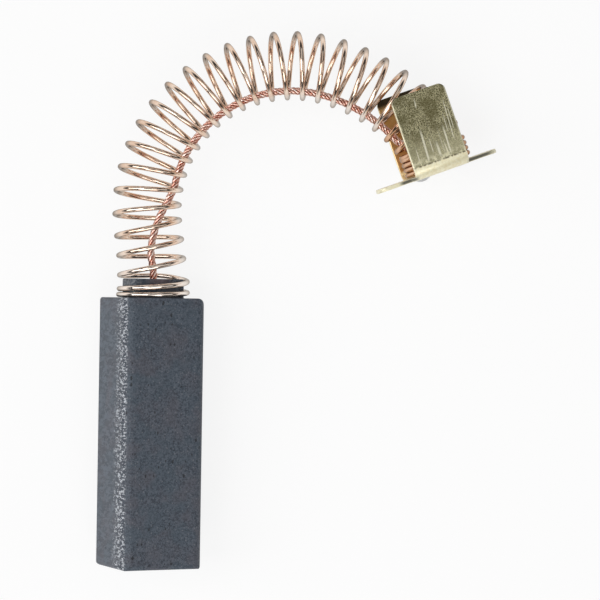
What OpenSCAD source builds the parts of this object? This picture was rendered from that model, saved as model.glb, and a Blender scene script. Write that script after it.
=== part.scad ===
// Carbon brush for a small motor: a pressed carbon block, a coil spring bent
// over sideways, a stranded copper lead inside it and a folded brass terminal.
// Millimetres. The block runs along Y with its running face at Y = 0, and the
// brush lies on one long edge of the block and on the foot of the terminal.

/* [Carbon block] */
// Wider side of the block's section
block_w = 7.5; // [5:0.1:12]
// Narrower side of the block's section
block_t = 6.5; // [4.5:0.1:10]
// Length from the running face to the shoulder
block_l = 23.5; // [10:0.5:40]
// Rounding of the two long edges of the front face
front_edge_r = 0.9; // [0.2:0.05:1.5]
// Rounding of the two long edges of the back face
back_edge_r = 0.25; // [0.1:0.05:1]
// Rounding of the shoulder over the narrow side that faces the bend
shoulder_r = 0.85; // [0.2:0.05:1.5]
// Rounding of the shoulder over the other narrow side
shoulder_far_r = 0.3; // [0.1:0.05:1.5]
// Rounding of the edges round the running face
face_edge_r = 0.4; // [0.05:0.05:0.8]
// Turn of the block about its own length against the plane of the spring's bend
block_roll = 25.5; // [0:0.5:45]

/* [Neck] */
// Wider side of the neck that the spring grips
neck_w = 4.85; // [3:0.05:6]
// Narrower side of the neck
neck_t = 2.8; // [2:0.05:5]
// Height of the neck over the shoulder
neck_h = 1.65; // [0.8:0.05:4]
// Rounding of the neck's upright edges
neck_edge_r = 0.35; // [0.1:0.05:0.8]
// Rounding of the neck's top over its narrow sides
neck_top_r = 0.2; // [0.05:0.05:0.5]

/* [Lead] */
// Diameter of the stranded lead
lead_d = 0.66; // [0.4:0.05:1]
// Depth of the lead below the top of the neck
lead_depth = 5; // [2:0.5:8]
// Diameter of the tamped copper that holds the lead
tamp_d = 1.8; // [1.2:0.1:2.4]
// Tamped copper below the end of the lead
tamp_floor = 1; // [0.5:0.1:2]
// Play of the lead in its holes and inside the coil
lead_play = 0.02; // [0.01:0.01:0.1]
// Straight stretch of the lead above the neck
lead_rise = 1.9; // [0.5:0.1:4]
// Stretch over which the lead crosses to the inner side of the coil
lead_cross = 7; // [3:0.5:12]
// Stretch over which the lead turns from there to its hole in the terminal
lead_return = 3; // [1:0.5:6]

/* [Spring] */
// Diameter of the spring wire
wire_d = 0.44; // [0.25:0.01:0.7]
// Outside diameter of the free coils
spring_od = 6.06; // [4.6:0.02:8]
// Number of turns from one end of the wire to the other
turns = 29.7; // [12:0.1:40]
// Closed turns round the neck
neck_turns = 0.9; // [0.5:0.05:2]
// Closed turns on the terminal
seat_turns = 4; // [1:0.25:6]
// Turns over which the pitch opens and closes
fade_turns = 0.6; // [0.5:0.1:2]
// Gap between closed turns, and between the wire and what it sits on
coil_gap = 0.015; // [0.005:0.005:0.05]
// Gap between the wire and the corners of the neck
grip_gap = 0.03; // [0.01:0.01:0.1]
// Flare of the first turn, on the radius
end_flare = 0.05; // [0:0.01:0.3]

/* [Bend of the spring] */
// Length over which the spring leans over above the neck
root_l = 0.3; // [0.5:0.1:3]
// Lean of the straight run away from the bend
run_lean = 6.9; // [0:0.1:12]
// Straight run from the shoulder to the bend
run_l = 6.15; // [3:0.05:15]
// Radius of the bend on the block's side
bend_r1 = 12.6; // [9:0.05:25]
// Radius of the bend on the terminal's side
bend_r2 = 15.9; // [9:0.1:25]
// Heading at which one radius takes over from the other
bend_mid = 105; // [60:0.5:130]
// Heading at which the bend reaches the terminal
bend_end = 142.2; // [125:0.1:158]
// Heading of the terminal
seat_heading = 159.7; // [125:0.1:175]
// Radius of the last bend, down to the closed turns
seat_bend_r = 3.6; // [2:0.1:10]
// Tilt of the spring's plane toward the front face
plane_tilt = 2.2; // [0:0.1:8]

/* [Terminal] */
// Thickness of the brass sheet
sheet = 0.35; // [0.2:0.01:0.6]
// Width of the walls and of the base
wall_w = 4.9; // [3:0.1:8]
// Height of the terminal from the base to the free edge of the front wall
wall_h = 7.35; // [3:0.05:12]
// Reach of the back wall past the front one
back_reach = 0.35; // [0:0.05:2]
// Play between the coil and each wall
wall_play = 0.38; // [0.15:0.01:0.6]
// Rounding of the walls' free corners
wall_corner_r = 0.6; // [0.2:0.05:1.2]
// Reach of each ear beyond the walls
ear_l = 3.1; // [1:0.05:6]
// Width of each ear
ear_w = 2.4; // [1.2:0.1:4]
// Rounding of the ears' corners
ear_corner_r = 0.8; // [0.2:0.05:0.9]
// Distance of the lead's hole from the middle of the base
hole_off = 1.3; // [0:0.05:1.6]
// Play round the lead in its hole
hole_play = 0.06; // [0.03:0.01:0.2]
// Diameter of the solder under the base
solder_d = 1.5; // [1:0.05:2]
// Height of the solder under the base
solder_h = 0.28; // [0.15:0.01:0.45]
// Turn of the terminal about the end of the spring
terminal_twist = 5.5; // [-10:0.5:10]
// Shift of the terminal against the coil, toward the block
terminal_shift = 0.35; // [0:0.05:0.5]

/* [Hidden] */
$fn = 48;
eps = 0.01;
// How far the neck runs into the block, and a cutting solid past what it cuts
past = 1;

// The wire is an octagon drawn round its circle's centre, in rings along the coil.
WIRE_SIDES = 8;
RINGS = 18;
LEAD_SIDES = 8;
LEAD_STEP = 1;

// Corner of the neck as the coil meets it
neck_reach = norm([neck_w / 2 - neck_edge_r, neck_t / 2 - neck_edge_r]) + neck_edge_r;
// A coil drawn in straight steps comes nearer to its middle than its corners do.
chord = cos(180 / RINGS);
grip_r = (neck_reach + grip_gap + wire_d / 2) / chord;
coil_r = (spring_od - wire_d) / 2;
closed_pitch = wire_d + coil_gap;
start_angle = -125;

function smooth(u) = let(v = max(0, min(1, u))) v * v * (3 - 2 * v);
function ramp(u) = max(0, min(1, u));

// Centre line of the spring in its own plane: x across, y along the block, and a
// heading that turns from +y toward +x. Each stretch is [length, change of heading].
neck_run = neck_h - wire_d / 2;
seat_l = seat_turns * closed_pitch;
STRETCH = [
    [neck_run, 0],
    [root_l, -run_lean],
    [run_l - root_l - neck_run, 0],
    [bend_r1 * (bend_mid + run_lean) * PI / 180, bend_mid + run_lean],
    [bend_r2 * (bend_end - bend_mid) * PI / 180, bend_end - bend_mid],
    [seat_bend_r * (seat_heading - bend_end) * PI / 180, seat_heading - bend_end],
    [seat_l, 0]
];

// Pose after going s along one stretch that starts at pose p
function along(p, stretch, s) =
    abs(stretch[1]) < 1e-6
    ? [p[0] + s * sin(p[2]), p[1] + s * cos(p[2]), p[2]]
    : let(r = stretch[0] / (stretch[1] * PI / 180), h = p[2] + stretch[1] * s / stretch[0])
      [p[0] + r * (cos(p[2]) - cos(h)), p[1] + r * (sin(h) - sin(p[2])), h];

function pose_at(s, p = [0, 0, 0], i = 0) =
    i == len(STRETCH) - 1 || s <= STRETCH[i][0]
    ? along(p, STRETCH[i], s)
    : pose_at(s - STRETCH[i][0], along(p, STRETCH[i], STRETCH[i][0]), i + 1);

function total(v, i = 0) = i == len(v) ? 0 : v[i][0] + total(v, i + 1);
line_l = total(STRETCH);
coil_l = line_l - wire_d / 2 - coil_gap;
END = pose_at(line_l);

// Height along the centre line after t turns: the pitch is closed at both ends,
// opens and closes over fade_turns, and is even between.
open_from = neck_turns;
open_to = turns - seat_turns;
open_turns = open_to - open_from - fade_turns;
extra_pitch = (coil_l - closed_pitch * turns) / open_turns;
function opened(t) =
    let(a = max(0, min(t - open_from, fade_turns)),
        b = max(0, min(t, open_to - fade_turns) - open_from - fade_turns),
        c = max(0, min(t, open_to) - (open_to - fade_turns)))
    a * a / (2 * fade_turns) + b + c - c * c / (2 * fade_turns);
function coil_s(t) = closed_pitch * t + extra_pitch * opened(t);

// Radius of the coil: flared at its first turn, tight on the neck, then free
function coil_radius(t) =
    let(k = smooth((coil_s(t) - neck_run) / (closed_pitch + extra_pitch)),
        grip = max(grip_r + end_flare * (1 - ramp(t)), coil_r))
    grip * (1 - k) + coil_r * k;

// Middle of the wire in the spring's plane frame, z standing off the plane
function coil_point(t) =
    let(p = pose_at(coil_s(t)), a = start_angle + 360 * t, r = coil_radius(t))
    [p[0] + r * sin(a) * cos(p[2]), p[1] - r * sin(a) * sin(p[2]), r * cos(a)];

// The plane of the bend leans toward the front face by plane_tilt, and drops to
// the terminal's side until the terminal's foot is as low as the block's edge.
function tilted(p) = [
    p[0],
    p[1] * cos(plane_tilt) - p[2] * sin(plane_tilt),
    p[1] * sin(plane_tilt) + p[2] * cos(plane_tilt)
];
function dropped(p, a) = [p[0] * cos(a) + p[2] * sin(a), p[1], p[2] * cos(a) - p[0] * sin(a)];

rest_z = -(block_w / 2 - back_edge_r) * sin(block_roll)
    - (block_t / 2 - back_edge_r) * cos(block_roll) - back_edge_r;
gap_half = spring_od / 2 + wall_play;
// The base stays flat as far out as the middle of the wire that lies on it.
fold_r = wall_play + wire_d / 2;
fold_out = fold_r + sheet;
back_h = wall_h + back_reach;

// A point of the terminal in the spring's plane frame: x across to the ears,
// y toward the front wall, z out through the base
function terminal_point(q) =
    let(t = -terminal_twist,
        a = q[0] - terminal_shift,
        x = a * cos(t) - q[1] * sin(t),
        y = a * sin(t) + q[1] * cos(t))
    [
        END[0] - x * cos(END[2]) + q[2] * sin(END[2]),
        END[1] + x * sin(END[2]) + q[2] * cos(END[2]),
        y
    ];
function drop_to(p, z) =
    let(q = tilted(p), r = norm([q[0], q[2]])) acos((z + fold_out) / r) - atan2(q[0], q[2]);
FOOT = [
    for (x = [-1, 1], z = [-fold_r, fold_out - back_h])
        terminal_point([x * wall_w / 2, fold_r - gap_half, z])
];
drop = min([for (p = FOOT) drop_to(p, rest_z)]);

// The first turns sit on the shoulder at their lowest point.
seat_y = wire_d / 2 + coil_gap
    - min([for (t = [0 : 1 / RINGS : neck_turns + 1]) dropped(tilted(coil_point(t)), drop)[1]]);
base_y = block_l + seat_y;
function placed(p) = dropped(tilted(p), drop) + [0, base_y, 0];

// Faces of a tube through closed rings of n points each, with both ends capped
function tube_faces(rings, n) = concat(
    [[for (j = [0 : n - 1]) j]],
    [for (i = [0 : rings - 2], j = [0 : n - 1])
        [i * n + j, (i + 1) * n + j, (i + 1) * n + (j + 1) % n]],
    [for (i = [0 : rings - 2], j = [0 : n - 1])
        [i * n + j, (i + 1) * n + (j + 1) % n, i * n + (j + 1) % n]],
    [[for (j = [n - 1 : -1 : 0]) (rings - 1) * n + j]]
);
function unit(v) = v / norm(v);

// A tube of radius r swept along points, each ring turned to its own side vector
module sweep(points, sides, r, n) {
    last = len(points) - 1;
    rings = [
        for (i = [0 : last])
            let(t = unit(points[min(i + 1, last)] - points[max(i - 1, 0)]),
                u = unit(sides[i] - (sides[i] * t) * t),
                v = cross(t, u))
            for (j = [0 : n - 1])
                points[i] + r * (cos(360 * j / n) * u + sin(360 * j / n) * v)
    ];
    polyhedron(points = rings, faces = tube_faces(last + 1, n), convexity = 10);
}

// What is cut off to round a square edge that runs l along +z from the origin,
// with the material on its -x and -y side
module edge_cut(r, l) {
    difference() {
        translate([-r, -r, -eps]) cube([r + eps, r + eps, l + 2 * eps]);
        translate([-r, -r, -2 * eps]) cylinder(r = r, h = l + 4 * eps);
    }
}

// Bar of section w by t along +y, with front and back edges rounded
module bar(w, t, l, front_r, back_r) {
    difference() {
        translate([-w / 2, 0, -t / 2]) cube([w, l, t]);
        translate([w / 2, 0, -t / 2]) rotate([-90, 0, 0]) edge_cut(back_r, l);
        translate([-w / 2, 0, -t / 2]) rotate([0, 90, 0]) rotate([-90, 0, 0]) edge_cut(back_r, l);
        translate([-w / 2, 0, t / 2]) rotate([0, 180, 0]) rotate([-90, 0, 0]) edge_cut(front_r, l);
        translate([w / 2, 0, t / 2]) rotate([0, 270, 0]) rotate([-90, 0, 0]) edge_cut(front_r, l);
    }
}

// What is cut off to round the end edges at y over the narrow sides of such a bar
module end_cuts(w, t, y, near_r, far_r) {
    translate([w / 2, y, -t / 2]) edge_cut(near_r, t);
    translate([-w / 2, y, -t / 2]) rotate([0, 0, 90]) edge_cut(far_r, t);
}

module carbon_block() {
    color("#4b4f55")
    rotate([0, block_roll, 0])
    difference() {
        union() {
            bar(block_w, block_t, block_l, front_edge_r, back_edge_r);
            translate([0, block_l - past, 0])
                bar(neck_w, neck_t, neck_h + past, neck_edge_r, neck_edge_r);
        }
        tamp_space();
        end_cuts(block_w, block_t, block_l, shoulder_r, shoulder_far_r);
        end_cuts(neck_w, neck_t, block_l + neck_h, neck_top_r, neck_top_r);
        rotate([0, 0, 180]) end_cuts(block_w, block_t, 0, face_edge_r, face_edge_r);
        rotate([0, 90, 0]) rotate([0, 0, 180])
            end_cuts(block_t, block_w, 0, face_edge_r, face_edge_r);
    }
}

// Blind hole in the neck for the tamped copper
module tamp_space(over = eps) {
    translate([0, block_l + neck_h - lead_depth - tamp_floor, 0])
        rotate([-90, 0, 0]) cylinder(d = tamp_d, h = lead_depth + tamp_floor + over);
}

module tamped_copper() {
    color("#9a6a58")
    difference() {
        tamp_space(0);
        translate([0, block_l + neck_h - lead_depth, 0])
            rotate([-90, 0, 0]) cylinder(d = lead_d + 2 * lead_play, h = lead_depth + eps);
    }
}

// Route of the lead, by its distance s past the start of the centre line: up
// from the block on its axis, across to the inner side of the coil, along it,
// and back to the hole in the terminal's base
lead_off = coil_r * chord - wire_d / 2 - lead_d / 2 - lead_play;
lead_from = block_l + neck_h - lead_depth - base_y;
lead_start = block_l + neck_h - base_y;
lead_to = line_l + sheet;
lead_end = hole_off + terminal_shift;
function lead_offset(s) =
    s < line_l / 2
    ? lead_off * smooth((s - lead_start - lead_rise) / lead_cross)
    : lead_end + (lead_off - lead_end) * smooth((line_l - seat_l - s) / lead_return);
function lead_point(s) =
    let(p = pose_at(s), o = lead_offset(s), k = smooth((s - lead_start) / lead_rise),
        t = s > line_l / 2 ? terminal_twist * smooth((s - line_l + seat_l) / lead_return + 1) : 0,
        bent = placed([p[0] + o * cos(t) * cos(p[2]), p[1] - o * cos(t) * sin(p[2]), o * sin(t)]))
    k * bent + (1 - k) * [0, base_y + s, 0];

module copper_lead() {
    n = ceil((lead_to - lead_from) / LEAD_STEP);
    step = (lead_to - lead_from) / n;
    color("#c8745c")
    sweep(
        [for (i = [0 : n]) lead_point(lead_from + i * step)],
        [for (i = [0 : n]) dropped([0, 0, 1], drop)],
        lead_d / 2, LEAD_SIDES
    );
}

module spring() {
    n = ceil(turns * RINGS);
    color("#d9a583")
    sweep(
        [for (i = [0 : n]) placed(coil_point(turns * i / n))],
        [for (i = [0 : n])
            let(p = pose_at(coil_s(turns * i / n)))
            placed(coil_point(turns * i / n)) - placed([p[0], p[1], 0])],
        wire_d / 2, WIRE_SIDES
    );
}

// Puts the terminal's own frame at the end of the spring
module on_spring_end() {
    translate([0, base_y, 0]) rotate([0, drop, 0]) rotate([plane_tilt, 0, 0])
        translate([END[0], END[1], 0]) rotate([0, 0, 180 - END[2]]) rotate([90, 0, 0])
        rotate([0, 0, -terminal_twist]) translate([-terminal_shift, 0, 0])
        children();
}

// One wall of height h with its fold, on the side that y points to
module wall(h) {
    difference() {
        translate([-wall_w / 2, gap_half, sheet - h]) cube([wall_w, sheet, h - sheet - fold_r]);
        translate([0, gap_half + sheet / 2, 0]) rotate([-90, 0, 0])
            end_cuts(wall_w, sheet, h - sheet, wall_corner_r, wall_corner_r);
    }
    translate([-wall_w / 2, gap_half - fold_r, -fold_r]) rotate([90, 0, 90])
        intersection() {
            difference() {
                cylinder(r = fold_out, h = wall_w);
                translate([0, 0, -eps]) cylinder(r = fold_r, h = wall_w + 2 * eps);
            }
            translate([0, 0, -eps]) cube([fold_out + past, fold_out + past, wall_w + 2 * eps]);
        }
}

module terminal() {
    half = wall_w / 2 + ear_l;
    color("#b9a463")
    on_spring_end()
    difference() {
        union() {
            translate([-wall_w / 2, fold_r - gap_half, 0])
                cube([wall_w, 2 * (gap_half - fold_r), sheet]);
            wall(wall_h);
            rotate([0, 0, 180]) wall(back_h);
            linear_extrude(height = sheet) {
                square([2 * half, ear_w - 2 * ear_corner_r], center = true);
                square([2 * (half - ear_corner_r), ear_w], center = true);
                for (x = [-1, 1], y = [-1, 1])
                    translate([x * (half - ear_corner_r), y * (ear_w / 2 - ear_corner_r)])
                        circle(r = ear_corner_r);
            }
        }
        translate([-hole_off, 0, -eps]) cylinder(d = lead_d + 2 * hole_play, h = sheet + 2 * eps);
    }
}

// Solder that holds the end of the lead under the base
module solder() {
    r = (solder_d * solder_d / 4 + solder_h * solder_h) / (2 * solder_h);
    color("#b4b6b4")
    on_spring_end()
    translate([-hole_off, 0, sheet])
    intersection() {
        translate([0, 0, solder_h - r]) sphere(r = r);
        cylinder(d = solder_d + past, h = solder_h + past);
    }
}

carbon_block();
tamped_copper();
copper_lead();
spring();
terminal();
solder();
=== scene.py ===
import math

import bmesh
import bpy
import numpy as np
from mathutils import Euler, Matrix, Vector


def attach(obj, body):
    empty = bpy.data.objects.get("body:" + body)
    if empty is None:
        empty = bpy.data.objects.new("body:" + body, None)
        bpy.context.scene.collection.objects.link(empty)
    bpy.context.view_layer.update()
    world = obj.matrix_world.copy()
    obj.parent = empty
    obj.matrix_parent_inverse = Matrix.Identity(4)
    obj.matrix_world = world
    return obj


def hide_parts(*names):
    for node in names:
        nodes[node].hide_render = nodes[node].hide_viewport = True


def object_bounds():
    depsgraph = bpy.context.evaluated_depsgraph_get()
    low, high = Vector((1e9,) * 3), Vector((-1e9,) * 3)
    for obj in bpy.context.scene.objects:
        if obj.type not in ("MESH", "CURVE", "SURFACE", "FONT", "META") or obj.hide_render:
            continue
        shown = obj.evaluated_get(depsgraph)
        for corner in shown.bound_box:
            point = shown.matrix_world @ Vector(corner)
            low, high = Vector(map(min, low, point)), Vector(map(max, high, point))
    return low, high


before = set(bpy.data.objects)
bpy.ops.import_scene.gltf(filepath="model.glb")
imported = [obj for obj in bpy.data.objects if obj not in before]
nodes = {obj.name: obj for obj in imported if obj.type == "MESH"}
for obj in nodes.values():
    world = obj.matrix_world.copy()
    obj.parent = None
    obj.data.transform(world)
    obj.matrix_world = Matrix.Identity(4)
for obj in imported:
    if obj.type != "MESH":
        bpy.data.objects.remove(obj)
cad_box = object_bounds()

MM = 0.001
PER_M = 1000

# ---------------------------------------------------------------- part values
# Millimetres and degrees, as in part.scad.
# The block, the radius of its back edges, its roll about its length, and its neck
BLOCK_W, BLOCK_T, BLOCK_L = 7.5, 6.5, 23.5
BACK_R = 0.25
ROLL = 25.5
NECK_W, NECK_T, NECK_H, NECK_R = 4.85, 2.8, 1.65, 0.35
# The lead, and the lengths in which it crosses to the inside of the coil and comes back
LEAD_D, LEAD_DEPTH, LEAD_PLAY, LEAD_RISE = 0.66, 5, 0.02, 1.9
LEAD_CROSS, LEAD_RETURN = 7, 3
# The spring, its closed turns on the neck and in the terminal, and where it starts
WIRE_D, SPRING_OD, TURNS = 0.44, 6.06, 29.7
NECK_TURNS, SEAT_TURNS, FADE = 0.9, 4, 0.6
COIL_GAP, GRIP_GAP, FLARE = 0.015, 0.03, 0.05
START, RINGS = -125, 18
# The spring's centre line: a straight run, two bends and a last one into the terminal
ROOT_L, LEAN, RUN_L = 0.3, 6.9, 6.15
BEND_R1, BEND_R2, BEND_MID, BEND_END = 12.6, 15.9, 105, 142.2
SEAT_HEADING, SEAT_BEND_R, TILT = 159.7, 3.6, 2.2
# The terminal, and its place on the last turns
SHEET, WALL_W, WALL_H, BACK_REACH, WALL_PLAY = 0.35, 4.9, 7.35, 0.35, 0.38
HOLE_OFF, TWIST, SHIFT = 1.3, 5.5, 0.35

# ------------------------------------------------------------- mesh and looks
# Rings to a turn of the spring, corners to a ring, and its last rings' share of the radius
WIRE_STEPS, WIRE_SIDES, WIRE_END = 44, 14, (0.72, 0.93, 1.0)
# The lead's bundles with their core, the length of one turn of their lay, and their radii
STRANDS, LAY = 7, 2.8
STRAND_R, CORE_R = LEAD_D * 0.15, LEAD_D * 0.19
LEAD_STEP, STRAND_SIDES = 0.16, 8
# The rolled edges of the block and the terminal, and the sharpest angle left alone
BLOCK_EDGE, TERMINAL_EDGE = 0.06, 0.05
EDGE_ANGLE, EDGE_SEGMENTS, WELD_GAP, FACE_WEIGHT = 30, 2, 1e-7, 100
# Middle of the spring's bend, which tells the outside of the bend from the inside
BEND_X, BEND_Y = 12.6, 31.0

# -------------------------------------------------------- camera and the stage
CAMERA_AT = (12.84, 23.51, 235)
CAMERA_ROLL, SENSOR, LENS, CLIP = 0.9, 36, 161.445, (0.01, 10)
FLOOR_HALF = 1.2
# Soft boxes in metres and watts: name, x, y, width, depth, power
LIGHT_AIM, LIGHT_Z = (0.0125, 0.0235, 0), 0.38
LIGHTS = [
    ("light_left", -0.31, 0.0235, 0.3, 0.5, 1.32),
    ("light_right", 0.33, 0.0235, 0.3, 0.5, 0.37),
    ("light_low", 0.0125, -0.30, 0.5, 0.3, 1.2),
    ("light_high", 0.0125, 0.35, 0.5, 0.3, 0.25),
]
# The room's grey by height: pale at the horizon, dark walls, a grey ceiling
ROOM = [(0.0, 0.5), (0.08, 0.5), (0.16, 0.05), (0.86, 0.05), (0.95, 0.28)]

rad = math.radians


# ------------------------------------------------------------ spring's route
NECK_RUN = NECK_H - WIRE_D / 2
CLOSED = WIRE_D + COIL_GAP
SEAT_L = SEAT_TURNS * CLOSED
STRETCH = [
    (NECK_RUN, 0),
    (ROOT_L, -LEAN),
    (RUN_L - ROOT_L - NECK_RUN, 0),
    (BEND_R1 * rad(BEND_MID + LEAN), BEND_MID + LEAN),
    (BEND_R2 * rad(BEND_END - BEND_MID), BEND_END - BEND_MID),
    (SEAT_BEND_R * rad(SEAT_HEADING - BEND_END), SEAT_HEADING - BEND_END),
    (SEAT_L, 0),
]
LINE_L = sum(length for length, _ in STRETCH)
COIL_L = LINE_L - WIRE_D / 2 - COIL_GAP
OPEN_TO = TURNS - SEAT_TURNS
EXTRA = (COIL_L - CLOSED * TURNS) / (OPEN_TO - NECK_TURNS - FADE)
# part.scad's spring has RINGS facets to a turn, whose middles lie at this share of its radius
CHORD = math.cos(math.pi / RINGS)
GRIP_R = (math.hypot(NECK_W / 2 - NECK_R, NECK_T / 2 - NECK_R) + NECK_R
          + GRIP_GAP + WIRE_D / 2) / CHORD
COIL_R = (SPRING_OD - WIRE_D) / 2
GAP_HALF = SPRING_OD / 2 + WALL_PLAY
FOLD_R = WALL_PLAY + WIRE_D / 2
FOLD_OUT = FOLD_R + SHEET
REST_Z = (-(BLOCK_W / 2 - BACK_R) * math.sin(rad(ROLL))
          - (BLOCK_T / 2 - BACK_R) * math.cos(rad(ROLL)) - BACK_R)


def smooth(u):
    v = max(0.0, min(1.0, u))
    return v * v * (3 - 2 * v)


def along(p, stretch, s):
    """The point and heading p carried on by s along a stretch, a (length, turn)."""
    length, turn = stretch
    if abs(turn) < 1e-6:
        return (p[0] + s * math.sin(rad(p[2])), p[1] + s * math.cos(rad(p[2])), p[2])
    r = length / rad(turn)
    h = p[2] + turn * s / length
    return (p[0] + r * (math.cos(rad(p[2])) - math.cos(rad(h))),
            p[1] + r * (math.sin(rad(h)) - math.sin(rad(p[2]))), h)


def pose_at(s):
    """Point and heading of the spring's centre line at distance s, in its own plane."""
    p = (0.0, 0.0, 0.0)
    for stretch in STRETCH[:-1]:
        if s <= stretch[0]:
            return along(p, stretch, s)
        p = along(p, stretch, stretch[0])
        s -= stretch[0]
    return along(p, STRETCH[-1], s)


END = pose_at(LINE_L)


def coil_s(t):
    """How far along the centre line turn t is: closed, then open, then closed."""
    a = max(0.0, min(t - NECK_TURNS, FADE))
    b = max(0.0, min(t, OPEN_TO - FADE) - NECK_TURNS - FADE)
    c = max(0.0, min(t, OPEN_TO) - (OPEN_TO - FADE))
    return CLOSED * t + EXTRA * (a * a / (2 * FADE) + b + c - c * c / (2 * FADE))


def coil_radius(t):
    """The coil's radius to the wire's middle, opened out where it grips the neck."""
    k = smooth((coil_s(t) - NECK_RUN) / (CLOSED + EXTRA))
    grip = max(GRIP_R + FLARE * (1 - max(0.0, min(1.0, t))), COIL_R)
    return grip * (1 - k) + COIL_R * k


def coil_point(t):
    """The wire's middle at turn t, in the spring's plane frame."""
    x, y, h = pose_at(coil_s(t))
    a, r = rad(START + 360 * t), coil_radius(t)
    return (x + r * math.sin(a) * math.cos(rad(h)),
            y - r * math.sin(a) * math.sin(rad(h)),
            r * math.cos(a))


def tilted(p):
    """The spring's plane tipped a little on the neck."""
    c, s = math.cos(rad(TILT)), math.sin(rad(TILT))
    return (p[0], p[1] * c - p[2] * s, p[1] * s + p[2] * c)


def dropped(p, angle):
    """The point turned about the block's length."""
    c, s = math.cos(rad(angle)), math.sin(rad(angle))
    return (p[0] * c + p[2] * s, p[1], p[2] * c - p[0] * s)


def terminal_point(q):
    """A point of the terminal's own frame in the spring's plane frame."""
    t, h = rad(-TWIST), rad(END[2])
    a = q[0] - SHIFT
    x, y = a * math.cos(t) - q[1] * math.sin(t), a * math.sin(t) + q[1] * math.cos(t)
    return (END[0] - x * math.cos(h) + q[2] * math.sin(h),
            END[1] + x * math.sin(h) + q[2] * math.cos(h),
            y)


def drop_to(p):
    """The turn about the block's length that brings a corner of the terminal to the floor."""
    q = tilted(p)
    r = math.hypot(q[0], q[2])
    return math.degrees(math.acos((REST_Z + FOLD_OUT) / r) - math.atan2(q[0], q[2]))


DROP = min(drop_to(terminal_point((x * WALL_W / 2, FOLD_R - GAP_HALF, z)))
           for x in (-1, 1) for z in (-FOLD_R, FOLD_OUT - WALL_H - BACK_REACH))
# The first turns rest on the block's shoulder
FIRST = [k / RINGS for k in range(int((NECK_TURNS + 1) * RINGS) + 1)]
SEAT_Y = WIRE_D / 2 + COIL_GAP - min(dropped(tilted(coil_point(t)), DROP)[1] for t in FIRST)
BASE_Y = BLOCK_L + SEAT_Y


def placed(p):
    """A point of the spring's plane frame in the part's own frame."""
    q = dropped(tilted(p), DROP)
    return np.array((q[0], q[1] + BASE_Y, q[2]))


# ----------------------------------------------------------------- geometry
def add_object(name, data):
    obj = bpy.data.objects.new(name, data)
    bpy.context.scene.collection.objects.link(obj)
    return obj


def tube(name, points, sides, radius, n, taper=None):
    """A round tube along points, with each ring turned to its own side vector."""
    points = np.asarray(points) * MM
    last = len(points) - 1
    verts, faces = [], []
    for i, p in enumerate(points):
        t = points[min(i + 1, last)] - points[max(i - 1, 0)]
        t /= np.linalg.norm(t)
        u = sides[i] - sides[i].dot(t) * t
        u /= np.linalg.norm(u)
        v = np.cross(t, u)
        r = radius * MM * (taper(i, last) if taper else 1)
        for j in range(n):
            a = 2 * math.pi * j / n
            verts.append(p + r * (math.cos(a) * u + math.sin(a) * v))
    for i in range(last):
        for j in range(n):
            k = (j + 1) % n
            faces.append((i * n + j, (i + 1) * n + j, (i + 1) * n + k, i * n + k))
    faces.append(tuple(range(n)))
    faces.append(tuple(last * n + j for j in reversed(range(n))))
    mesh = bpy.data.meshes.new(name)
    mesh.from_pydata([tuple(v) for v in verts], [], faces)
    mesh.validate()
    mesh.update()
    mesh.polygons.foreach_set("use_smooth", [len(f.vertices) == 4 for f in mesh.polygons])
    bm = bmesh.new()
    bm.from_mesh(mesh)
    bmesh.ops.recalc_face_normals(bm, faces=bm.faces)
    bm.to_mesh(mesh)
    bm.free()
    return add_object(name, mesh)


def wire_taper(i, last):
    """Sheared ends of the wire: a small rounding over the last few rings."""
    return WIRE_END[min(i, last - i, len(WIRE_END) - 1)]


def make_spring():
    """The whole spring, as one round wire."""
    count = math.ceil(TURNS * WIRE_STEPS)
    points, sides = [], []
    for i in range(count + 1):
        t = TURNS * i / count
        p = placed(coil_point(t))
        x, y, _ = pose_at(coil_s(t))
        points.append(p)
        sides.append(p - placed((x, y, 0)))
    return tube("spring_wire", points, sides, WIRE_D / 2, WIRE_SIDES, wire_taper)


LEAD_OFF = COIL_R * CHORD - WIRE_D / 2 - LEAD_D / 2 - LEAD_PLAY
LEAD_FROM = BLOCK_L + NECK_H - LEAD_DEPTH - BASE_Y
LEAD_START = BLOCK_L + NECK_H - BASE_Y
LEAD_TO = LINE_L + SHEET
LEAD_END = HOLE_OFF + SHIFT


def lead_point(s):
    """The lead's middle line, where s is the distance along the spring's centre line."""
    x, y, h = pose_at(s)
    if s < LINE_L / 2:
        o = LEAD_OFF * smooth((s - LEAD_START - LEAD_RISE) / LEAD_CROSS)
        t = 0.0
    else:
        o = LEAD_END + (LEAD_OFF - LEAD_END) * smooth((LINE_L - SEAT_L - s) / LEAD_RETURN)
        t = rad(TWIST * smooth((s - LINE_L + SEAT_L) / LEAD_RETURN + 1))
    k = smooth((s - LEAD_START) / LEAD_RISE)
    bent = placed((x + o * math.cos(t) * math.cos(rad(h)),
                   y - o * math.cos(t) * math.sin(rad(h)),
                   o * math.sin(t)))
    return k * bent + (1 - k) * np.array((0, BASE_Y + s, 0))


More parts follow.
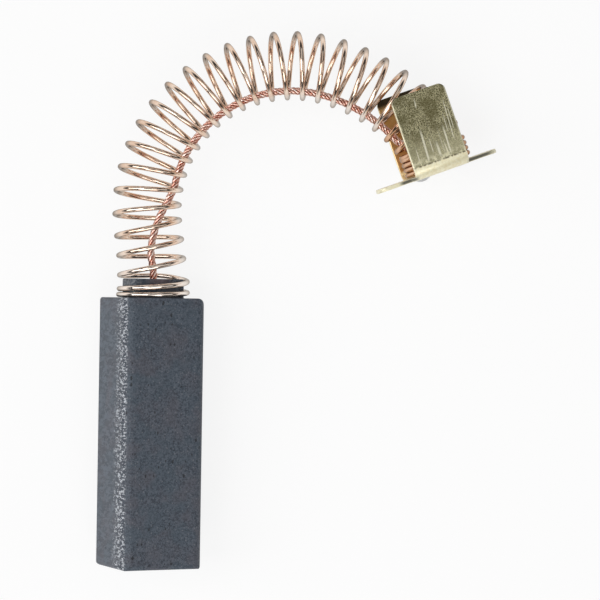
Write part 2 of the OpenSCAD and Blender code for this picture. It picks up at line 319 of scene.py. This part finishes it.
def make_lead():
    """Stranded lead: a core and six bundles laid round it inside the lead's diameter."""
    count = math.ceil((LEAD_TO - LEAD_FROM) / LEAD_STEP)
    line = [lead_point(LEAD_FROM + i * (LEAD_TO - LEAD_FROM) / count) for i in range(count + 1)]
    up = np.array(dropped((0, 0, 1), DROP))
    off = LEAD_D / 2 - STRAND_R
    made = []
    for k in range(STRANDS):
        points, sides = [], []
        for i, p in enumerate(line):
            t = line[min(i + 1, count)] - line[max(i - 1, 0)]
            t /= np.linalg.norm(t)
            u = up - up.dot(t) * t
            u /= np.linalg.norm(u)
            v = np.cross(t, u)
            if k == 0:
                points.append(p)
                sides.append(u)
                continue
            a = 2 * math.pi * ((k - 1) / (STRANDS - 1) + i * LEAD_STEP / LAY)
            out = math.cos(a) * u + math.sin(a) * v
            points.append(p + off * out)
            sides.append(out)
        radius = STRAND_R if k else CORE_R
        made.append(tube("lead_strand_%d" % k, points, sides, radius, STRAND_SIDES))
    return made


# ---------------------------------------------------------------- materials
class Nodes:
    """A small helper that adds and links shader nodes."""

    def __init__(self, name):
        self.mat = bpy.data.materials.new(name)
        self.mat.use_nodes = True
        self.tree = self.mat.node_tree
        self.bsdf = self.tree.nodes["Principled BSDF"]
        coord = self.tree.nodes.new("ShaderNodeTexCoord")
        self.coord = coord.outputs["Object"]

    def node(self, kind, **sets):
        n = self.tree.nodes.new(kind)
        for key, value in sets.items():
            setattr(n, key, value)
        return n

    def put(self, socket, value):
        if isinstance(value, bpy.types.NodeSocket):
            self.tree.links.new(value, socket)
        else:
            socket.default_value = value

    def math(self, op, a, b=0.0):
        n = self.node("ShaderNodeMath", operation=op)
        self.put(n.inputs[0], a)
        self.put(n.inputs[1], b)
        return n.outputs[0]

    def ramp(self, value, lo, hi, out_lo=0.0, out_hi=1.0, kind="SMOOTHSTEP"):
        """out_lo at lo to out_hi at hi, level outside them; lo may be the larger."""
        n = self.node("ShaderNodeMapRange", interpolation_type=kind)
        self.put(n.inputs["Value"], value)
        self.put(n.inputs["From Min"], lo)
        self.put(n.inputs["From Max"], hi)
        self.put(n.inputs["To Min"], out_lo)
        self.put(n.inputs["To Max"], out_hi)
        return n.outputs["Result"]

    def mix(self, factor, a, b):
        n = self.node("ShaderNodeMix", data_type="RGBA")
        self.put(n.inputs["Factor"], factor)
        self.put(n.inputs["A"], a)
        self.put(n.inputs["B"], b)
        return n.outputs["Result"]

    def local(self, matrix):
        """Coordinates in millimetres in the frame whose axes are matrix's columns."""
        inv = matrix.inverted()
        m = self.node("ShaderNodeMapping", vector_type="POINT")
        self.put(m.inputs["Vector"], self.coord)
        m.inputs["Scale"].default_value = (PER_M, PER_M, PER_M)
        m.inputs["Rotation"].default_value = inv.to_euler("XYZ")
        m.inputs["Location"].default_value = inv.translation * PER_M
        return m.outputs["Vector"]

    def scaled(self, vector, scale):
        m = self.node("ShaderNodeMapping", vector_type="POINT")
        self.put(m.inputs["Vector"], vector)
        m.inputs["Scale"].default_value = scale
        return m.outputs["Vector"]

    def split(self, vector):
        n = self.node("ShaderNodeSeparateXYZ")
        self.put(n.inputs[0], vector)
        return n.outputs

    def noise(self, vector, scale, detail=2.0, rough=0.5, distortion=0.0):
        """Soft noise, with scale in waves to a millimetre."""
        n = self.node("ShaderNodeTexNoise")
        self.put(n.inputs["Vector"], vector)
        n.inputs["Scale"].default_value = scale
        n.inputs["Detail"].default_value = detail
        n.inputs["Roughness"].default_value = rough
        n.inputs["Distortion"].default_value = distortion
        return n.outputs["Fac"]

    def cells(self, vector, scale):
        """Scattered spots: the distance from each one's middle, and a colour picked for it."""
        n = self.node("ShaderNodeTexVoronoi")
        self.put(n.inputs["Vector"], vector)
        n.inputs["Scale"].default_value = scale
        return n.outputs

    def bump(self, height, strength, depth):
        """A normal from a height, with depth in millimetres."""
        n = self.node("ShaderNodeBump")
        self.put(n.inputs["Height"], height)
        n.inputs["Strength"].default_value = strength
        n.inputs["Distance"].default_value = depth * MM
        return n.outputs["Normal"]

    def band(self, value, middle, half, soft):
        """1 within half of middle, falling to 0 over soft."""
        off = self.math("ABSOLUTE", self.math("SUBTRACT", value, middle))
        return self.ramp(off, half + soft, half)

    def times(self, *values):
        out = values[0]
        for value in values[1:]:
            out = self.math("MULTIPLY", out, value)
        return out

    def set(self, **values):
        names = dict(color="Base Color", metallic="Metallic", rough="Roughness", normal="Normal",
                     spec="Specular IOR Level", edge="Specular Tint")
        for key, value in values.items():
            self.put(self.bsdf.inputs[names[key]], value)


def rgb(r, g, b):
    return (r, g, b, 1.0)


BLOCK_FRAME = Euler((0, rad(ROLL), 0)).to_matrix().to_4x4()


def unit(v):
    return np.asarray(v) / np.linalg.norm(v)


def terminal_frame():
    """The terminal's own frame: x to the ears, y to the front wall, z out through the base."""
    o, x, y, z = (placed(terminal_point(q)) for q in ((0, 0, 0), (1, 0, 0), (0, 1, 0), (0, 0, 1)))
    axes = [unit(a - o) for a in (x, y, z)]
    m = Matrix.Identity(4)
    for c, a in enumerate(axes):
        for r in range(3):
            m[r][c] = a[r]
    for r in range(3):
        m[r][3] = o[r] * MM
    return m


# The band, sparkle and neck tones are painted light: a highlight on the rounded edge and lit
# specks on the neck
CARBON = dict(
    dark=rgb(0.020, 0.030, 0.046), pale=rgb(0.104, 0.125, 0.157),
    violet=rgb(0.092, 0.086, 0.103), blue=rgb(0.064, 0.087, 0.112),
    cut_side=rgb(0.50, 0.56, 0.64), fleck=rgb(0.19, 0.20, 0.225),
    band=rgb(0.055, 0.065, 0.085), sparkle_highlight=rgb(0.66, 0.69, 0.74),
    pore=rgb(0.005, 0.007, 0.010), neck=rgb(0.25, 0.26, 0.27), copper=rgb(0.26, 0.14, 0.13))


def carbon_material():
    n = Nodes("pressed_carbon")
    p = n.local(BLOCK_FRAME)
    x, y, z = n.split(p)
    # the grain is coarser across the narrow sides, where the cut shows it end on
    flank = n.ramp(n.math("ABSOLUTE", x), BLOCK_W / 2 - 0.25, BLOCK_W / 2 - 0.05)
    end_grain = n.noise(n.scaled(p, (1.0, 1.0, 0.4)), 2.6, 4.0, 0.85, 0.4)
    grain = n.mix(flank, n.noise(p, 6.0, 4.0, 0.8, 0.6), end_grain)
    speck = n.mix(flank, n.ramp(grain, 0.41, 0.59), n.ramp(grain, 0.46, 0.54))
    tone = n.mix(speck, CARBON["dark"], CARBON["pale"])
    # broad drifts between a violet and a blue grey
    hue = n.ramp(n.noise(p, 0.4, 2.0, 0.5), 0.42, 0.58)
    drift = n.ramp(n.noise(p, 0.7, 2.0, 0.5), 0.35, 0.65, 0.15, 0.45)
    tone = n.mix(drift, tone, n.mix(hue, CARBON["violet"], CARBON["blue"]))
    tone = n.mix(n.math("MULTIPLY", flank, 0.045), tone, CARBON["cut_side"])
    # pale grains of copper and graphite in the mix
    flecks = n.cells(p, 5.2)
    picked = n.ramp(n.split(flecks["Color"])[0], 0.80, 0.86)
    fleck = n.times(n.ramp(flecks["Distance"], 0.40, 0.22), picked)
    tone = n.mix(n.math("MULTIPLY", fleck, 0.5), tone, CARBON["fleck"])
    # a pale band down the narrow side, beside the front edge: partly a rubbed, polished strip,
    # and partly a painted highlight of the rounded edge with painted glints
    side = n.ramp(x, -BLOCK_W / 2 + 0.34, -BLOCK_W / 2 + 0.14)
    soft = n.math("ADD", z, n.math("MULTIPLY", n.noise(p, 1.6, 4.0, 0.8), 3.2))
    band = n.math("MULTIPLY", n.ramp(soft, 2.0, 3.6), side)
    sparkle_highlight = n.ramp(n.noise(n.scaled(p, (1.0, 1.0, 0.5)), 5.2, 3.0, 0.8), 0.52, 0.57)
    band_highlight_tone = n.mix(sparkle_highlight, CARBON["band"], CARBON["sparkle_highlight"])
    tone = n.mix(n.math("MULTIPLY", band, 0.85), tone, band_highlight_tone)
    # dark pores of many sizes, drawn out along the block
    pores = n.cells(n.scaled(p, (1.0, 0.6, 1.0)), 2.8)
    size, pick, _ = n.split(pores["Color"])
    reach = n.math("MULTIPLY", pores["Distance"], n.ramp(size, 0.0, 1.0, 0.75, 2.4, "LINEAR"))
    ragged = n.math("SUBTRACT", n.noise(p, 4.0, 2.0), 0.5)
    reach = n.math("ADD", reach, n.math("MULTIPLY", ragged, 0.35))
    pore = n.times(n.ramp(reach, 0.29, 0.18), n.ramp(pick, 0.66, 0.70))
    tone = n.mix(n.math("MULTIPLY", pore, 0.8), tone, CARBON["pore"])
    # painted light: pale specks on the neck's left end, the side toward the strongest lamp
    neck_lit_specks = n.times(n.ramp(y, BLOCK_L + 0.05, BLOCK_L + 0.15),
                   n.ramp(x, -NECK_W / 2 + 0.9, -NECK_W / 2 + 0.5))
    neck_lit_specks = n.times(neck_lit_specks, n.ramp(n.noise(p, 4.5, 3.0, 0.8), 0.44, 0.58), 0.8)
    tone = n.mix(neck_lit_specks, tone, CARBON["neck"])
    # copper dust round the lead's hole
    axis = n.math("SQRT", n.math("ADD", n.math("MULTIPLY", x, x), n.math("MULTIPLY", z, z)))
    near = n.math("MULTIPLY", n.ramp(y, BLOCK_L + 0.5, BLOCK_L + NECK_H), n.ramp(axis, 2.1, 0.9))
    tone = n.mix(n.math("MULTIPLY", near, 0.6), tone, CARBON["copper"])
    glint = n.math("MULTIPLY", n.math("MULTIPLY", band, sparkle_highlight), 0.3)
    height = n.math("ADD", n.math("MULTIPLY", grain, 0.6), glint)
    height = n.math("SUBTRACT", height, n.math("MULTIPLY", pore, 0.8))
    n.set(color=tone, rough=n.ramp(grain, 0.3, 0.7, 0.5, 0.68, "LINEAR"),
          normal=n.bump(height, 0.5, 0.08), spec=0.5)
    return n.mat


def copper_powder_material():
    n = Nodes("tamped_copper")
    p = n.local(Matrix.Identity(4))
    g = n.noise(p, 11.0, 5.0, 0.7)
    n.set(color=n.mix(n.ramp(g, 0.35, 0.65), rgb(0.16, 0.075, 0.06), rgb(0.46, 0.24, 0.19)),
          metallic=0.7, rough=0.6, normal=n.bump(g, 0.6, 0.05))
    return n.mat


# The flank, outside, inside, neck and seat tones are painted reflections and highlights
WIRE = dict(
    tan=rgb(0.80, 0.58, 0.44), pale=rgb(0.90, 0.73, 0.60), spot=rgb(0.40, 0.26, 0.19),
    flank=rgb(0.72, 0.70, 0.67), outside=rgb(0.36, 0.33, 0.30), inside=rgb(0.84, 0.82, 0.79),
    neck=rgb(0.97, 0.90, 0.83), seat_reflection=rgb(0.72, 0.40, 0.22), edge=rgb(0.46, 0.43, 0.40))


def wire_material():
    n = Nodes("bronze_wire")
    p = n.local(Matrix.Identity(4))
    broad = n.noise(p, 0.8, 3.0, 0.6)
    fine = n.noise(p, 5.0, 3.0, 0.6)
    tone = n.mix(n.ramp(broad, 0.38, 0.62), WIRE["tan"], WIRE["pale"])
    tone = n.mix(n.ramp(fine, 0.60, 0.74, 0.0, 0.5), tone, WIRE["spot"])
    # painted reflection: greyer where each turn passes round its side
    x, y, z = n.split(p)
    flank = n.band(z, 0.6, 0.6, 1.1)
    tone = n.mix(n.math("MULTIPLY", flank, 0.4), tone, WIRE["flank"])
    # painted reflections there: darkest on the outside of the bend, and palest on the inside
    rise = n.math("MAXIMUM", n.math("SUBTRACT", y, BEND_Y), 0.0)
    across = n.math("SUBTRACT", x, BEND_X)
    reach = n.math("ADD", n.math("MULTIPLY", across, across), n.math("MULTIPLY", rise, rise))
    reach = n.math("SQRT", reach)
    side = n.band(z, 0.3, 0.7, 1.3)
    outside = n.times(side, n.ramp(reach, BEND_X + 0.9, BEND_X + 2.9), 0.65)
    tone = n.mix(outside, tone, WIRE["outside"])
    inside = n.times(side, n.ramp(reach, BEND_X - 1.2, BEND_X - 2.2), 0.6)
    tone = n.mix(inside, tone, WIRE["inside"])
    # painted highlight: paler on the neck
    tone = n.mix(n.ramp(y, BLOCK_L + 5.0, BLOCK_L + 1.5, 0.0, 0.6), tone, WIRE["neck"])
    # painted reflection: redder where it sits between the terminal's walls
    x, _, z = n.split(n.local(terminal_frame()))
    seat_reflection = n.times(n.ramp(z, -5.6, -4.6), n.ramp(z, 0.6, 0.2),
                   n.ramp(n.math("ABSOLUTE", x), 4.2, 3.6))
    tone = n.mix(n.math("MULTIPLY", seat_reflection, 0.8), tone, WIRE["seat_reflection"])
    n.set(color=tone, metallic=1.0, rough=n.ramp(fine, 0.3, 0.7, 0.10, 0.20, "LINEAR"),
          normal=n.bump(fine, 0.05, 0.02), edge=WIRE["edge"])
    return n.mat


def lead_material(name, dark, pale):
    n = Nodes(name)
    p = n.local(Matrix.Identity(4))
    broad = n.noise(p, 1.4, 3.0, 0.6)
    fine = n.noise(p, 8.0, 4.0, 0.65)
    tone = n.mix(n.ramp(broad, 0.35, 0.65), dark, pale)
    tone = n.mix(n.ramp(fine, 0.58, 0.68, 0.0, 0.5), tone, rgb(0.40, 0.18, 0.13))
    n.set(color=tone, metallic=1.0, rough=n.ramp(fine, 0.3, 0.7, 0.10, 0.22, "LINEAR"),
          normal=n.bump(fine, 0.2, 0.03), edge=rgb(0.46, 0.34, 0.30))
    return n.mat


# Scratches on the front wall, in the terminal's own frame: the middle of the line,
# its two ends toward the free edge and the fold, its width and how far it leans.
SCRATCHES = [
    (-0.95, -3.9, -1.0, 0.20, -0.05),
    (1.10, -3.6, -1.1, 0.16, -0.03),
    (0.17, -2.5, -1.1, 0.22, 0.0),
    (0.86, -2.3, -1.1, 0.12, 0.04),
    (1.75, -5.7, -2.2, 0.09, -0.05),
    (2.02, -5.2, -3.0, 0.07, -0.04),
    (1.45, -4.6, -2.9, 0.08, -0.04),
    (-0.35, -3.0, -1.6, 0.08, -0.02),
    (-0.50, -6.6, -5.7, 0.14, -0.08),
    (-1.75, -2.6, -1.2, 0.08, -0.04),
]


# The low, fold, rim, cut, inside and free-edge tones are painted light and shade
BRASS = dict(
    dark=rgb(0.050, 0.045, 0.020), pale=rgb(0.66, 0.61, 0.37), olive=rgb(0.12, 0.105, 0.045),
    spot=rgb(0.10, 0.085, 0.04), low=rgb(0.64, 0.60, 0.39), scratch=rgb(0.95, 0.92, 0.74),
    pale_above_fold=rgb(0.90, 0.85, 0.60), fold=rgb(0.90, 0.81, 0.52), fold_pale=rgb(1.0, 0.95, 0.70),
    rim_highlight=rgb(0.88, 0.84, 0.62), crease=rgb(0.08, 0.065, 0.03), cut=rgb(0.05, 0.05, 0.04),
    inside=rgb(0.86, 0.60, 0.27), free_edge_shade=rgb(0.02, 0.017, 0.012))


def brass_scratches(n, p, x, y, z, mottle):
    """Fine scratches along the walls on every side, and the plain ones in front."""
    front = n.ramp(y, 0.0, 1.0)
    lines = n.noise(n.scaled(p, (9.0, 0.0, 0.2)), 1.0, 2.0, 0.55)
    wall = n.ramp(z, -6.4, -1.0, 0.15, 1.0)
    scratch = n.times(n.ramp(lines, 0.62, 0.70), wall, 0.45)
    for at, top, foot, width, lean in SCRATCHES:
        along_z = n.math("MULTIPLY", n.math("SUBTRACT", z, foot), -lean)
        line = n.band(n.math("ADD", x, along_z), at, width * 0.2, width * 0.4)
        line = n.times(line, n.ramp(z, top - 0.1, top + 0.9), n.ramp(z, foot + 0.2, foot - 0.2),
                       front)
        scratch = n.math("MAXIMUM", scratch, line)
    return n.math("MULTIPLY", scratch, n.ramp(mottle, 0.3, 0.55, 0.6, 1.0))


def brass_material():
    n = Nodes("sheet_brass")
    p = n.local(terminal_frame())
    x, y, z = n.split(p)
    face = GAP_HALF + SHEET
    outer = n.ramp(n.math("ABSOLUTE", y), face - 0.12, face - 0.02)
    # rolled sheet: dark and light mottling, with olive patches and small spots
    mottle = n.noise(p, 8.5, 4.0, 0.8)
    patch = n.noise(p, 0.8, 3.0, 0.6)
    tone = n.mix(n.ramp(mottle, 0.40, 0.62), BRASS["dark"], BRASS["pale"])
    tone = n.mix(n.ramp(patch, 0.42, 0.60, 0.0, 0.7), tone, BRASS["olive"])
    dots = n.cells(p, 1.3)
    picked = n.ramp(n.split(dots["Color"])[0], 0.72, 0.78)
    spots = n.times(n.ramp(dots["Distance"], 0.24, 0.12), picked)
    tone = n.mix(n.math("MULTIPLY", spots, 0.65), tone, BRASS["spot"])
    # painted shade: the wall pales toward the fold and darkens toward its free edge
    tone = n.mix(n.ramp(z, -4.2, -1.0, 0.0, 0.5), tone, BRASS["low"])
    scratch = brass_scratches(n, p, x, y, z, mottle)
    tone = n.mix(n.math("MULTIPLY", scratch, 0.85), tone, BRASS["scratch"])
    # pale blotches just above the fold, painted reflection on the bright folds, and a painted
    # highlight along the side edges
    blotch = n.ramp(n.noise(p, 3.0, 3.0, 0.7), 0.44, 0.58)
    pale_above_fold = n.times(n.ramp(z, -FOLD_R - 0.95, -FOLD_R - 0.3), blotch, outer, 0.75)
    tone = n.mix(pale_above_fold, tone, BRASS["pale_above_fold"])
    # painted reflection: the folds are pale cream where they mirror the bright floor and lamps
    cloud = n.ramp(n.noise(p, 3.5, 4.0, 0.7), 0.35, 0.65)
    fold = n.ramp(z, -FOLD_R - 0.16, -FOLD_R - 0.08)
    tone = n.mix(n.math("MULTIPLY", fold, 0.9), tone,
                 n.mix(cloud, BRASS["fold"], BRASS["fold_pale"]))
    # painted highlight along the wall's side edges
    rim_highlight = n.ramp(n.math("ABSOLUTE", x), WALL_W / 2 - 0.16, WALL_W / 2 - 0.06)
    tone = n.mix(n.math("MULTIPLY", rim_highlight, 0.6), tone, BRASS["rim_highlight"])
    # a dark broken crease where each wall runs into its fold
    dashes = n.ramp(n.noise(n.scaled(p, (2.6, 0.0, 0.0)), 1.0, 2.0), 0.42, 0.55)
    crease = n.times(n.band(z, -FOLD_R - 0.12, 0.03, 0.08), dashes, outer)
    tone = n.mix(n.math("MULTIPLY", crease, 0.8), tone, BRASS["crease"])
    # painted shade: a dark line along the cut edge of each ear
    cut = n.band(z, SHEET / 2, 0.07, 0.12)
    streak = n.math("MAXIMUM", n.band(x, 3.75, 0.75, 0.95), n.band(x, -2.9, 0.3, 0.6))
    tone = n.mix(n.times(cut, streak, 0.9), tone, BRASS["cut"])
    # golden brown inside, partly the brass and partly a painted reflection of the copper turns,
    # with painted shade darkening to near black toward the free edges
    inner = n.ramp(n.math("ABSOLUTE", y), GAP_HALF + SHEET * 0.5, GAP_HALF + SHEET * 0.2)
    inner = n.math("MULTIPLY", inner, n.ramp(z, 0.05, -0.1))
    tone = n.mix(n.math("MULTIPLY", inner, 0.8), tone, BRASS["inside"])
    free_edge_shade = n.math("MULTIPLY", inner, n.ramp(z, -6.3, -6.9, 0.0, 0.95))
    tone = n.mix(free_edge_shade, tone, BRASS["free_edge_shade"])
    height = n.math("ADD", n.math("MULTIPLY", mottle, 0.6), n.math("MULTIPLY", scratch, 0.35))
    height = n.math("SUBTRACT", height, n.math("MULTIPLY", crease, 0.6))
    rough = n.math("ADD", n.ramp(mottle, 0.3, 0.7, 0.26, 0.40, "LINEAR"),
                   n.math("MULTIPLY", scratch, 0.15))
    # the folds and the foot are less metallic, so their painted reflection shows as a pale cream
    fold_metallic = n.ramp(z, -FOLD_R - 0.16, -FOLD_R - 0.08, 1.0, 0.2)
    n.set(color=tone, metallic=fold_metallic, rough=rough, normal=n.bump(height, 0.3, 0.03))
    return n.mat


def solder_material():
    n = Nodes("dull_solder")
    p = n.local(Matrix.Identity(4))
    g = n.noise(p, 4.0, 4.0, 0.6)
    n.set(color=n.mix(n.ramp(g, 0.35, 0.65), rgb(0.42, 0.42, 0.41), rgb(0.66, 0.66, 0.65)),
          metallic=0.9, rough=n.ramp(g, 0.3, 0.7, 0.32, 0.5, "LINEAR"),
          normal=n.bump(g, 0.3, 0.05))
    return n.mat


def dress(name, material):
    obj = nodes[name]
    for slot in obj.material_slots:
        slot.material = material
    return obj


# ------------------------------------------------------------------- camera
# Straight down on the brush as it lies, far back, with the block a touch off upright.
cam_data = bpy.data.cameras.new("camera")
cam_data.sensor_width = SENSOR
cam_data.lens = LENS
cam_data.clip_start, cam_data.clip_end = CLIP
camera = add_object("camera", cam_data)
camera.location = [v * MM for v in CAMERA_AT]
camera.rotation_euler = (0, 0, rad(CAMERA_ROLL))
bpy.context.scene.camera = camera

# ------------------------------------------------------------------- pieces
spring = make_spring()
spring.data.materials.append(wire_material())
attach(spring, "root")
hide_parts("spring")

# Painted shade: the core and every other bundle are darker copies of the copper, for the shade
# the strands cast on one another
copper = lead_material("stranded_copper", rgb(0.95, 0.58, 0.48), rgb(1.0, 0.84, 0.77))
half_shaded = lead_material("half_shaded_copper", rgb(0.68, 0.35, 0.27), rgb(0.88, 0.58, 0.49))
shaded = lead_material("shaded_copper", rgb(0.34, 0.11, 0.075), rgb(0.52, 0.22, 0.16))
strands = make_lead()
for k, strand in enumerate(strands):
    strand.data.materials.append(shaded if k == 0 else half_shaded if k % 2 else copper)
    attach(strand, "root")
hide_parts("copper_lead")


def soften(obj, width):
    """Joins the CAD mesh's split corners and rolls its sharp edges a little."""
    weld = obj.modifiers.new("weld", "WELD")
    weld.merge_threshold = WELD_GAP
    bevel = obj.modifiers.new("bevel", "BEVEL")
    bevel.width = width * MM
    bevel.segments = EDGE_SEGMENTS
    bevel.limit_method = "ANGLE"
    bevel.angle_limit = rad(EDGE_ANGLE)
    # the clamp would shrink every edge to suit the shortest facet of the CAD mesh
    bevel.use_clamp_overlap = False
    flat = obj.modifiers.new("flat", "WEIGHTED_NORMAL")
    flat.keep_sharp = True
    flat.weight = FACE_WEIGHT


soften(dress("carbon_block", carbon_material()), BLOCK_EDGE)
dress("tamped_copper", copper_powder_material())
soften(dress("terminal", brass_material()), TERMINAL_EDGE)
dress("solder", solder_material())

# ---------------------------------------------------------------- the stage
floor_mesh = bpy.data.meshes.new("floor")
corners = [(x * FLOOR_HALF, y * FLOOR_HALF, cad_box[0][2])
           for x, y in ((-1, -1), (1, -1), (1, 1), (-1, 1))]
floor_mesh.from_pydata(corners, [], [(0, 1, 2, 3)])
floor = add_object("floor", floor_mesh)


def paper_material():
    """White paper that the camera and bright metal see mostly as a lit white sweep."""
    n = Nodes("floor_paper")
    n.set(color=rgb(0.93, 0.93, 0.93), rough=0.9, spec=0.2)
    path = n.node("ShaderNodeLightPath").outputs
    seen = n.math("MAXIMUM", path["Is Camera Ray"], path["Is Glossy Ray"])
    seen = n.math("MAXIMUM", seen, path["Is Transmission Ray"])
    glow = n.node("ShaderNodeEmission")
    glow.inputs["Strength"].default_value = 1.0
    blend = n.node("ShaderNodeMixShader")
    n.put(blend.inputs["Fac"], n.math("MULTIPLY", seen, 0.85))
    n.put(blend.inputs[1], n.bsdf.outputs["BSDF"])
    n.put(blend.inputs[2], glow.outputs["Emission"])
    n.put(n.tree.nodes["Material Output"].inputs["Surface"], blend.outputs["Shader"])
    return n.mat


floor_mesh.materials.append(paper_material())

# Four soft boxes in a ring about 40 degrees off the zenith, the left one strongest
for name, x, y, width, depth, power in LIGHTS:
    data = bpy.data.lights.new(name, "AREA")
    data.shape = "RECTANGLE"
    data.size, data.size_y = width, depth
    data.energy = power
    light = add_object(name, data)
    light.location = (x, y, LIGHT_Z)
    direction = Vector(LIGHT_AIM) - Vector((x, y, LIGHT_Z))
    light.rotation_euler = direction.to_track_quat("-Z", "Y").to_euler()

# The room, as a ramp of grey over the height that a ray looks at
world = bpy.data.worlds.new("studio")
bpy.context.scene.world = world
world.use_nodes = True
tree = world.node_tree
coord = tree.nodes.new("ShaderNodeTexCoord")
split = tree.nodes.new("ShaderNodeSeparateXYZ")
tree.links.new(coord.outputs["Generated"], split.inputs[0])
shade = tree.nodes.new("ShaderNodeValToRGB")
tree.links.new(split.outputs["Z"], shade.inputs["Fac"])
stops = shade.color_ramp.elements
stops[0].position, stops[1].position = ROOM[0][0], ROOM[-1][0]
for height, _ in ROOM[1:-1]:
    stops.new(height)
for stop, (_, level) in zip(stops, ROOM):
    stop.color = rgb(level, level, level)
tree.links.new(shade.outputs["Color"], tree.nodes["Background"].inputs["Color"])

bpy.context.scene.view_settings.view_transform = "Standard"
